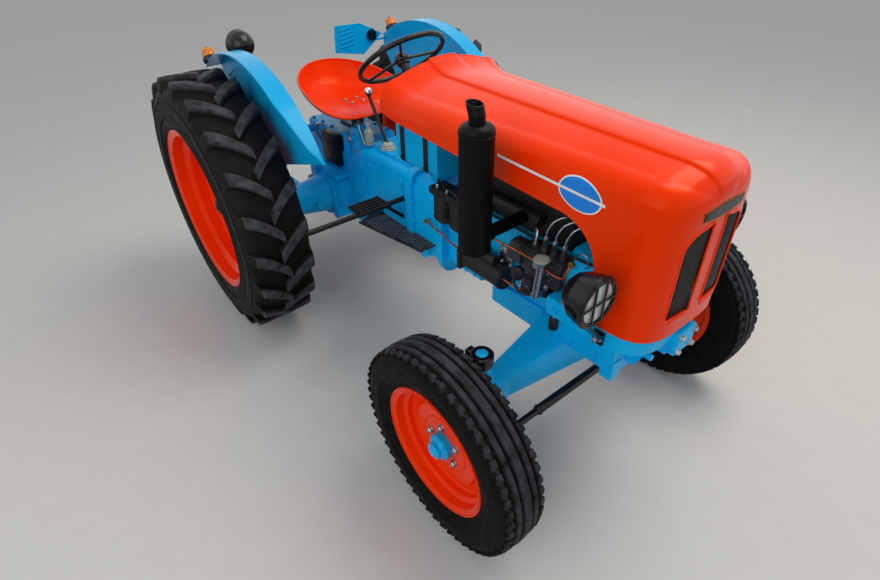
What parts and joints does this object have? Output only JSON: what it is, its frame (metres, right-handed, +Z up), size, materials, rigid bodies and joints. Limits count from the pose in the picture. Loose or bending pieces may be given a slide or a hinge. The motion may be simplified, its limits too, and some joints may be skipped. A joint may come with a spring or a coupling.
{
  "type": "vintage farm tractor",
  "caption": "Small vintage farm tractor with a forward-tilting bonnet, open engine, bucket seat, steered front wheels and lugged rear tyres",
  "frame": {"origin": "on the ground under the middle of the machine's length and width", "axes": "+X forward, +Y to the machine's left, +Z up"},
  "size_m": [2.5557, 1.55, 1.3656],
  "materials": {
    "blue_paint": "gloss sky blue enamel",
    "orange_paint": "gloss orange red enamel",
    "black_paint": "satin black enamel",
    "engine_black": "black cast iron",
    "blue_casting": "cast iron in gloss sky blue enamel",
    "tyre_rubber": "matt black rubber",
    "bright_steel": "bare machined steel",
    "lamp_glass": "clear lamp glass",
    "black_plastic": "gloss black moulding",
    "amber_lens": "amber moulding"
  },
  "bodies": {
    "chassis": {"gearbox": "blue_casting", "axle_housing_right": "blue_casting", "axle_housing_left": "blue_casting", "engine_block": "blue_casting", "oil_sump": "blue_casting", "cylinder_head": "engine_black", "timing_case": "blue_casting", "starter_motor": "black_paint", "oil_filler": "bright_steel", "injection_pump": "engine_black", "oil_filters": "black_paint", "exhaust": "black_paint", "radiator": "black_paint", "fuel_tank": "blue_paint", "front_bolster": "blue_casting", "front_beam": "blue_casting", "headlamp_right": "black_paint", "headlamp_left": "black_paint", "headlamp_glasses": "lamp_glass", "steering_column": "black_paint", "dash_panel": "black_paint", "seat_pan": "orange_paint", "seat_spring": "black_paint", "fender_right": "blue_paint", "fender_left": "blue_paint", "work_lamp": "black_plastic", "side_lamps": "amber_lens", "plate_panel": "blue_paint", "tail_lamp": "black_plastic", "foot_rests": "black_paint", "gear_levers": "black_paint", "hydraulic_valve": "blue_casting", "drawbar": "black_paint", "pto_shaft": "bright_steel", "hitch_links": "blue_paint"},
    "rear_wheel_right": {"rear_rim_right": "orange_paint", "rear_tyre_right": "tyre_rubber", "rear_hub_right": "black_paint"},
    "front_wheel_right": {"front_rim_right": "orange_paint", "front_tyre_right": "tyre_rubber", "front_hub_right": "blue_casting"},
    "knuckle_right_body": {"knuckle_right": "blue_casting"},
    "rear_wheel_left": {"rear_rim_left": "orange_paint", "rear_tyre_left": "tyre_rubber", "rear_hub_left": "black_paint"},
    "front_wheel_left": {"front_rim_left": "orange_paint", "front_tyre_left": "tyre_rubber", "front_hub_left": "blue_casting"},
    "knuckle_left_body": {"knuckle_left": "blue_casting"},
    "track_rod_body": {"track_rod": "black_paint"},
    "drop_arm_body": {"drop_arm": "black_paint"},
    "drag_link_body": {"drag_link": "black_paint"},
    "steering_wheel_body": {"steering_wheel": "black_plastic"},
    "bonnet_body": {"bonnet": "orange_paint", "grille": "black_paint", "bonnet_hinge": "black_paint"}
  },
  "joints": [
    {"name": "rear_wheel_right_spin", "type": "hinge", "parent": "chassis", "child": "rear_wheel_right", "pos_m": [-0.684, -0.633, 0.594], "axis": [0, 1, 0], "continuous": true},
    {"name": "steer_right", "type": "hinge", "parent": "chassis", "child": "knuckle_right_body", "pos_m": [0.916, -0.47, 0.36], "axis": [0, 0, 1], "range_deg": [-35, 35]},
    {"name": "front_wheel_right_spin", "type": "hinge", "parent": "knuckle_right_body", "child": "front_wheel_right", "pos_m": [0.916, -0.611, 0.36], "axis": [0, 1, 0], "continuous": true},
    {"name": "rear_wheel_left_spin", "type": "hinge", "parent": "chassis", "child": "rear_wheel_left", "pos_m": [-0.684, 0.633, 0.594], "axis": [0, 1, 0], "continuous": true},
    {"name": "steer_left", "type": "hinge", "parent": "chassis", "child": "knuckle_left_body", "pos_m": [0.916, 0.47, 0.36], "axis": [0, 0, 1], "range_deg": [-35, 35]},
    {"name": "front_wheel_left_spin", "type": "hinge", "parent": "knuckle_left_body", "child": "front_wheel_left", "pos_m": [0.916, 0.611, 0.36], "axis": [0, 1, 0], "continuous": true},
    {"name": "track_rod_swing", "type": "hinge", "parent": "knuckle_left_body", "child": "track_rod_body", "pos_m": [1.034, 0.47, 0.404], "axis": [0, 0, 1], "range_deg": [-36, 36]},
    {"name": "drop_arm_swing", "type": "hinge", "parent": "chassis", "child": "drop_arm_body", "pos_m": [0.162, 0.2, 0.902], "axis": [0, 1, 0], "range_deg": [-27, 27]},
    {"name": "drag_link_swing", "type": "hinge", "parent": "knuckle_left_body", "child": "drag_link_body", "pos_m": [0.916, 0.35, 0.676], "axis": [0, 0, 1], "range_deg": [-36, 36]},
    {"name": "steering_wheel_turn", "type": "hinge", "parent": "chassis", "child": "steering_wheel_body", "pos_m": [-0.094, 0, 1.246], "axis": [-0.6157, 0, 0.788], "range_deg": [-530, 530]},
    {"name": "bonnet_tilt", "type": "hinge", "parent": "chassis", "child": "bonnet_body", "pos_m": [1.241, 0, 0.758], "axis": [0, 1, 0], "range_deg": [0, 55]}
  ],
  "couplings": [
    {"joint": "steer_right", "follows": "steer_left", "ratio": 1},
    {"joint": "track_rod_swing", "follows": "steer_left", "ratio": -1},
    {"joint": "drag_link_swing", "follows": "steer_left", "ratio": -1},
    {"joint": "drop_arm_swing", "follows": "steer_left", "ratio": -0.7},
    {"joint": "steering_wheel_turn", "follows": "steer_left", "ratio": 15}
  ]
}
